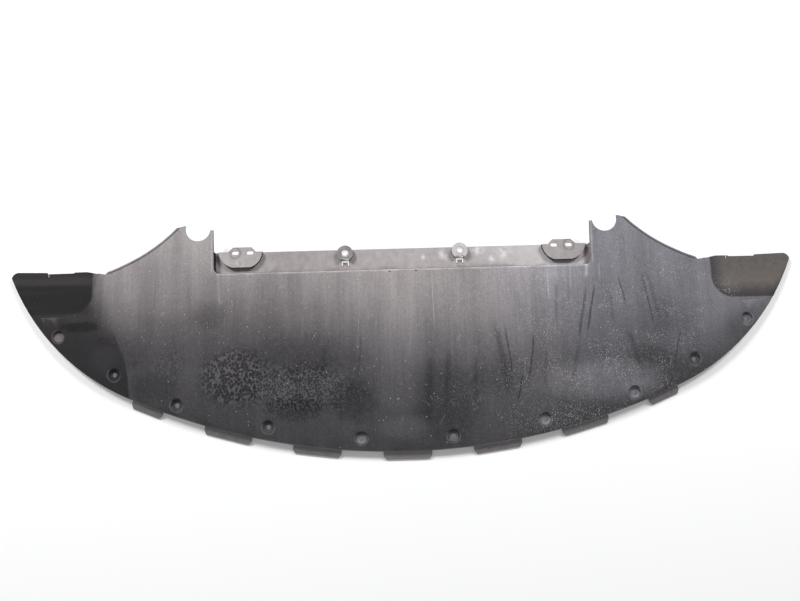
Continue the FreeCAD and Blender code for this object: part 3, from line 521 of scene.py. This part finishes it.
    def swept_edge_shadow(self):
        """1 just inside the swept edge between wing and horn: a painted shadow of the step there, which
        darkens the film.
        """
        inside = length(self.side - SWEEP_CENTRE[0], self.y - SWEEP_CENTRE[1]) - SWEEP_RADIUS
        part = self.side.step(SWEEP_END_X + 0.006, SWEEP_END_X - 0.006)
        part = part * self.y.step(SWEEP_FROM_Y, SWEEP_FROM_Y + 0.006)
        return inside.step(2.2 * MM, 3.2 * MM) * inside.step(8.0 * MM, 6.0 * MM) * part

    def dish_dust(self):
        """Dust on the rims of all dishes and on the floors of some."""
        rims = union(length(self.side - x, self.y - y).near(DISH_RADIUS, 1.9 * MM) for x, y in DISHES)
        floors = union(self.disc(x, y, DISH_RADIUS - 3.0 * MM, 1.5 * MM) * film for x, y, film in DISH_FLOORS)
        return rims * (0.12 + self.mottle * 0.16) + floors

    def face_grit(self):
        """Pale grit: a fine scatter all over, more of it and coarser on the right, and short dashes."""
        zone = self.x.step(-0.05, 0.36) * self.x.step(0.74, 0.56)
        gathered = self.noise((15.0, 19.0, 1.0), 4.0, (5.0, 5.0, 0.0)).step(0.44, 0.64)
        shore = self.past_front.step(-0.150, -0.070) * self.x.step(0.18, 0.38) * self.x.step(0.66, 0.50)
        coarse = self.specks((310.0, 250.0, 1.0), 0.33, 0.24, (1.0, 2.0, 0.0)) \
            * (zone * (0.05 + gathered * 0.45) + shore * gathered * 0.34)
        fine = self.specks((600.0, 430.0, 1.0), 0.42, 0.5, (6.0, 3.0, 0.0)) \
            * (0.10 + zone * (0.10 + gathered * 0.36) + shore * (0.18 + gathered * 0.28))
        dashes = self.specks((430.0, 150.0, 1.0), 0.36, 0.10, (3.0, 8.0, 0.0)) \
            * (0.16 + gathered * 0.30) * self.past_front.step(-0.05, -0.12)
        lone = self.specks((120.0, 100.0, 1.0), 0.13, 0.16, (2.0, 6.0, 0.0)) * 0.8
        return coarse.most(fine).most(dashes).most(lone)

    def all_dust_and_painted_light(self):
        """The dust film over the whole sheet, with painted sheen, shadow and highlights in it; above 1 it
        turns white. It is thinner in the wing fields and in the ring that a washer left round each outer slot,
        and darker just inside the swept edges, where a shadow is painted."""
        film = (self.face_dust_and_sheen() + self.edge_dust_and_highlights() + self.dish_dust()) * self.face
        film = film + self.flange_film() * self.flange
        # The tabs' film is thick enough to lift them out of the shadow the sheet casts on them: dust and
        # painted light.
        film = film + self.tabs * (0.24 + self.side.step(0.20, 0.02) * 0.20 + self.mottle * 0.36)
        # Painted shadow just inside the swept edges.
        film = film * (1.0 - self.swept_edge_shadow() * 0.85)
        field_bands = self.noise((2.0, 26.0, 1.0), 2.0, (1.0, 3.0, 0.0))
        film = film * (1.0 - self.left_field) + self.left_field * field_bands.step(0.45, 0.75) * 0.05
        film = film * (1.0 - self.right_field * 0.80)
        for hand in (-1.0, 1.0):
            around_slot = self.radius_about(hand * (BRACKET[0] + SLOT_HALF_PITCH), BRACKET[1])
            film = film - around_slot.near(WASHER_RADIUS, 3.2 * MM) * self.flange * 0.26
        # The right recess wall is made pale: dust on it, and painted light that it catches from the left.
        right_wall_dust_and_light = self.x.near(RECESS_X + 1.0 * MM, 8.0 * MM)
        right_wall_dust_and_light = right_wall_dust_and_light * self.y.step(RECESS_FRONT_Y - 0.006, RECESS_FRONT_Y + 0.004)
        return (film * self.upward).most(right_wall_dust_and_light * (1.0 - self.upward) * 0.55)

    def soil(self):
        """Brown soil in the recess's front and right corners, in the right wing's field and on the tabs."""
        uneven_y = self.y + (self.mottle - 0.5) * 0.006
        soil_line = uneven_y.step(RECESS_FRONT_Y + 0.010, RECESS_FRONT_Y + 0.001) \
            * self.noise((22.0, 3.0, 1.0), 3.0, (2.0, 2.0, 0.0)).step(0.38, 0.62)
        right_end = self.x.step(RECESS_X - 0.010, RECESS_X - 0.003)
        soil = self.flange * soil_line.most(right_end) * 0.65
        settled = self.wing_field(40.0 * MM) * self.x.step(0.0, 0.1)
        depth = 0.20 + self.mottle * 0.30 + self.field_edge * 0.32 + self.y.step(0.160, 0.105) * 0.12
        soil = soil.most(settled * depth + settled * (self.powder - 0.5) * 0.4)
        return soil.most(self.tabs * (0.10 + self.mottle * 0.45))

    def all_grit(self):
        """The face's grit, less on the dark left wing and in the fields, and sand in the right field's corner.
        """
        sand = self.specks((420.0, 380.0, 1.0), 0.40, 0.4, (2.0, 9.0, 0.0)) * self.right_field
        grit = self.face_grit() * self.face * (1.0 - self.left_wing() * 0.75) * (1.0 - self.field * 0.7)
        return grit + sand * self.field_edge * 0.8


def sheet_material(look):
    """Moulded plastic under a film of road dust, with painted sheen, shadows and highlights in its colour."""
    paint = SheetPaint()
    # The film carries the dust and the painted sheen, shadow and highlights.
    film = paint.all_dust_and_painted_light()
    soil = paint.soil()
    white = (film - 1.0).most(0.0) * 1.4
    grit = paint.all_grit()
    # Painted reflection: a cool, bluish tint on the right and towards the front stands for reflected light;
    # the warm dust is the film's own colour.
    warm = rgba((look.dust[0] * 1.015, look.dust[1] * 0.99, look.dust[2] * 0.985))
    sheen_tinted_dust = rgba((look.dust[0] * 0.93, look.dust[1] * 0.965, look.dust[2] * 1.05))
    sheen_tint_share = paint.x.step(0.05, 0.45).most(paint.y.step(0.08, -0.08) * 0.8) * paint.face
    dust = paint.blend(sheen_tint_share, warm, sheen_tinted_dust)
    bare = paint.blend(paint.mottle * 0.6, rgba(look.bare), rgba(look.bare, 1.8))
    colour = paint.blend(film.least(1.0), bare, dust)
    colour = paint.blend(white.least(0.8), colour, rgba(look.grit))
    colour = paint.blend((soil * paint.upward).least(1.0), colour, rgba(look.soil))
    colour = paint.blend((grit * paint.upward).least(1.0), colour, rgba(look.grit))

    roughness = 0.42 + film * 0.30 + (paint.fine_streaks - 0.5) * 0.12 + soil * 0.2
    grain = paint.noise((900.0, 900.0, 900.0), 2.0)
    height = grain * 0.5 + paint.fine_streaks * 0.3 + paint.mottle * 0.3
    bump = paint.node("ShaderNodeBump", inputs={"Strength": 0.18, "Distance": 0.0004, "Height": height})
    shader = paint.node("ShaderNodeBsdfPrincipled", inputs={
        "Base Color": colour, "Roughness": roughness.least(0.9), "Normal": bump, "IOR": 1.5,
        "Specular IOR Level": 0.10})
    return paint.finish(shader)


def steel_material(look):
    """Plated spring steel, rubbed along the strip."""
    paint = Paint("plated_spring_steel")
    rubbed = paint.noise((900.0, 60.0, 60.0), 3.0)
    blotch = paint.noise((260.0, 260.0, 260.0), 3.0, (3.0, 3.0, 3.0))
    dirt = blotch.step(0.54, 0.74)
    colour = paint.blend(dirt * 0.5, rgba(look.steel), rgba(look.grime))
    roughness = 0.26 + rubbed * 0.16 + dirt * 0.25
    bump = paint.node("ShaderNodeBump", inputs={
        "Strength": 0.12, "Distance": 0.0002, "Height": rubbed * 0.5 + blotch * 0.5})
    shader = paint.node("ShaderNodeBsdfPrincipled", inputs={
        "Base Color": colour, "Metallic": 0.9, "Roughness": roughness, "Normal": bump})
    return paint.finish(shader)


def floor_material(look):
    """A plain pale floor that looks near white to the camera and keeps the object's shadow."""
    paint = Paint("studio_floor")
    seen = union(paint.node("ShaderNodeLightPath", output=f"Is {ray} Ray") for ray in WHITE_RAYS)
    lit = paint.node("ShaderNodeBsdfPrincipled", inputs={
        "Base Color": rgba(look.floor), "Roughness": 0.85, "Specular IOR Level": 0.2})
    glow = paint.node("ShaderNodeEmission", inputs={"Color": (1.0, 1.0, 1.0, 1.0), "Strength": 1.0})
    share = seen * look.floor_glow
    return paint.finish(paint.node("ShaderNodeMixShader", inputs={0: share, 1: lit, 2: glow}))


def link(name, mesh, material):
    piece = bpy.data.objects.new(name, mesh)
    bpy.context.scene.collection.objects.link(piece)
    mesh.materials.clear()
    mesh.materials.append(material)
    return piece


def grid_mesh(name, points, around=False):
    """A mesh over a grid of points, whose rows may be closed round."""
    rows, columns = points.shape[:2]
    index = np.arange(rows * columns).reshape(rows, columns)
    if around:
        index = np.concatenate([index, index[:, :1]], axis=1)
    quads = np.stack([index[:-1, :-1], index[:-1, 1:], index[1:, 1:], index[1:, :-1]], axis=-1).reshape(-1, 4)
    mesh = bpy.data.meshes.new(name)
    mesh.from_pydata(points.reshape(-1, 3).tolist(), [], quads.tolist())
    mesh.polygons.foreach_set("use_smooth", np.ones(len(quads), bool))
    mesh.update()
    return mesh


def merged_copy(node, name, material, sharp_angle):
    """A copy of a CAD node with its loose triangles joined, smooth up to an angle."""
    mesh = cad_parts[node].data.copy()
    mesh.name = name
    shape = bmesh.new()
    shape.from_mesh(mesh)
    bmesh.ops.remove_doubles(shape, verts=shape.verts, dist=JOIN_DISTANCE)
    bmesh.ops.dissolve_limit(
        shape, angle_limit=math.radians(FLAT_ANGLE), verts=shape.verts, edges=shape.edges)
    shape.to_mesh(mesh)
    shape.free()
    mesh.polygons.foreach_set("use_smooth", np.ones(len(mesh.polygons), bool))
    mesh.set_sharp_from_angle(angle=math.radians(sharp_angle))
    if not mesh.polygons:
        raise RuntimeError(f"{node} has no faces")
    return link(name, mesh, material)


def weigh_normals(piece):
    """Shades each vertex mostly by the large faces around it, so that flats stay flat."""
    weighted = piece.modifiers.new("flat_faces", "WEIGHTED_NORMAL")
    weighted.mode = "FACE_AREA"
    weighted.weight = 80
    weighted.keep_sharp = True


def soften(piece, width, angle):
    """Rounds the sharp edges a little and keeps the flats flat."""
    bevel = piece.modifiers.new("rounded_edges", "BEVEL")
    bevel.width = width
    bevel.segments = 2
    bevel.limit_method = "ANGLE"
    bevel.angle_limit = math.radians(angle)
    bevel.use_clamp_overlap = True
    bevel.harden_normals = True


def thread_points(centre, low, high, look):
    """The thread inside a collar. The first parameter is the angle about the axis, the second the height.
    The radius is the bore's, less a rounded ridge whose height follows the angle: one ridge per pitch,
    raised to a power so that its crest is narrow, and faded out at both ends of the collar."""
    angles = np.linspace(0.0, 2.0 * np.pi, THREAD_AROUND, endpoint=False)
    heights = np.linspace(low, high, THREAD_ALONG)
    turn, height = np.meshgrid(angles, heights)
    phase = (height - low) / look.thread_pitch - turn / (2.0 * np.pi)
    ridge = (0.5 + 0.5 * np.cos(2.0 * np.pi * phase)) ** 1.5
    share = (height - low) / (high - low)
    fade = np.clip(np.minimum(share, 1.0 - share) * 6.0, 0.0, 1.0)
    radius = look.thread_radius - look.thread_depth * (0.06 + ridge * fade)
    return np.stack([centre[0] + radius * np.cos(turn), centre[1] + radius * np.sin(turn), height], axis=-1)


class SPLASH_OT_sheet(bpy.types.Operator):
    """Dress the moulded sheet"""
    bl_idname = "splash.sheet"
    bl_label = "Moulded sheet"

    def execute(self, context):
        material = sheet_material(context.scene.splash_sheet)
        piece = merged_copy("shield_panel", "moulded_sheet", material, SHEET_SHARP)
        weigh_normals(piece)
        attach(piece, "root")
        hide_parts("shield_panel")
        return {"FINISHED"}


class SPLASH_OT_nuts(bpy.types.Operator):
    """Make the two spring-steel nuts and their threads"""
    bl_idname = "splash.nuts"
    bl_label = "Clip nuts"

    def execute(self, context):
        look = context.scene.splash_nuts
        steel = steel_material(look)
        for side in ("left", "right"):
            node = f"clip_nut_{side}"
            low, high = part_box(node)
            clip = merged_copy(node, f"spring_clip_{side}", steel, STEEL_SHARP)
            soften(clip, look.edge_round, STEEL_SHARP)
            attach(clip, "root")
            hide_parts(node)
            centre = ((low.x + high.x) / 2, NUT[1])
            top = high.z - THREAD_TOP
            points = thread_points(centre, top - THREAD_LENGTH, top, look)
            mesh = grid_mesh(f"nut_thread_{side}", points[::-1], around=True)
            thread = link(f"nut_thread_{side}", mesh, steel)
            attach(thread, "root")
        return {"FINISHED"}


def add_lamp(name, power, size, spot):
    """A square lamp at a spot, facing the sheet's middle."""
    data = bpy.data.lights.new(name, "AREA")
    data.size = size
    data.energy = power
    lamp = bpy.data.objects.new(name, data)
    bpy.context.scene.collection.objects.link(lamp)
    lamp.location = spot
    lamp.rotation_euler = (-Vector(spot)).to_track_quat("-Z", "Y").to_euler()


def light_room(scene, strength):
    """Even light from all round, seen as white by the camera and in reflections."""
    world = bpy.data.worlds.new("studio_room")
    world.use_nodes = True
    scene.world = world
    tree = world.node_tree
    background = tree.nodes["Background"]
    background.inputs["Color"].default_value = (1.0, 1.0, 1.0, 1.0)
    paths = tree.nodes.new("ShaderNodeLightPath")
    seen = paths.outputs[f"Is {WHITE_RAYS[0]} Ray"]
    for ray in WHITE_RAYS[1:]:
        either = tree.nodes.new("ShaderNodeMath")
        either.operation = "MAXIMUM"
        tree.links.new(seen, either.inputs[0])
        tree.links.new(paths.outputs[f"Is {ray} Ray"], either.inputs[1])
        seen = either.outputs[0]
    level = tree.nodes.new("ShaderNodeMix")
    level.inputs[2].default_value = strength
    level.inputs[3].default_value = 1.0
    tree.links.new(seen, level.inputs[0])
    tree.links.new(level.outputs[0], background.inputs["Strength"])


class SPLASH_OT_studio(bpy.types.Operator):
    """Lay the floor, light it and place the camera"""
    bl_idname = "splash.studio"
    bl_label = "Studio"

    def execute(self, context):
        scene = context.scene
        look = scene.splash_studio
        edge = np.array((-FLOOR_HALF, FLOOR_HALF))
        across, along = np.meshgrid(edge, edge)
        plane = np.stack([across, along, np.zeros_like(across)], axis=-1)
        link("studio_floor", grid_mesh("studio_floor", plane), floor_material(look))

        left_power = look.lamp_power * look.left_share
        add_lamp("left_lamp", left_power, look.lamp_size, (-LAMP_SPOT[0], *LAMP_SPOT[1:]))
        add_lamp("right_lamp", look.lamp_power - left_power, look.lamp_size, LAMP_SPOT)
        light_room(scene, look.sky)

        data = bpy.data.cameras.new("photo_camera")
        data.sensor_width = SENSOR_MM
        data.lens = LENS_MM
        camera = bpy.data.objects.new("photo_camera", data)
        scene.collection.objects.link(camera)
        right = Vector(CAMERA_RIGHT)
        above = Vector(CAMERA_ABOVE)
        turn = Matrix((right, above, right.cross(above))).transposed()
        camera.matrix_world = Matrix.Translation(CAMERA_SPOT) @ turn.to_4x4()
        scene.camera = camera
        scene.view_settings.view_transform = "Standard"
        return {"FINISHED"}


class SPLASH_PT_panel(bpy.types.Panel):
    bl_idname = "SPLASH_PT_panel"
    bl_label = "Splash shield"
    bl_space_type = "VIEW_3D"
    bl_region_type = "UI"
    bl_category = "Splash shield"

    def draw(self, context):
        scene = context.scene
        for looks, operator in ((scene.splash_sheet, "splash.sheet"), (scene.splash_nuts, "splash.nuts"),
                                (scene.splash_studio, "splash.studio")):
            box = self.layout.box()
            for name in looks.bl_rna.properties.keys():
                if name not in ("rna_type", "name"):
                    box.prop(looks, name)
            box.operator(operator)


CLASSES = (SheetLook, NutLook, StudioLook, SPLASH_OT_sheet, SPLASH_OT_nuts, SPLASH_OT_studio, SPLASH_PT_panel)


def register():
    for item in CLASSES:
        bpy.utils.register_class(item)
    bpy.types.Scene.splash_sheet = bpy.props.PointerProperty(type=SheetLook)
    bpy.types.Scene.splash_nuts = bpy.props.PointerProperty(type=NutLook)
    bpy.types.Scene.splash_studio = bpy.props.PointerProperty(type=StudioLook)


def unregister():
    del bpy.types.Scene.splash_studio
    del bpy.types.Scene.splash_nuts
    del bpy.types.Scene.splash_sheet
    for item in reversed(CLASSES):
        bpy.utils.unregister_class(item)


def main():
    register()
    bpy.ops.splash.studio()
    bpy.ops.splash.sheet()
    bpy.ops.splash.nuts()


if __name__ == "__main__":
    main()
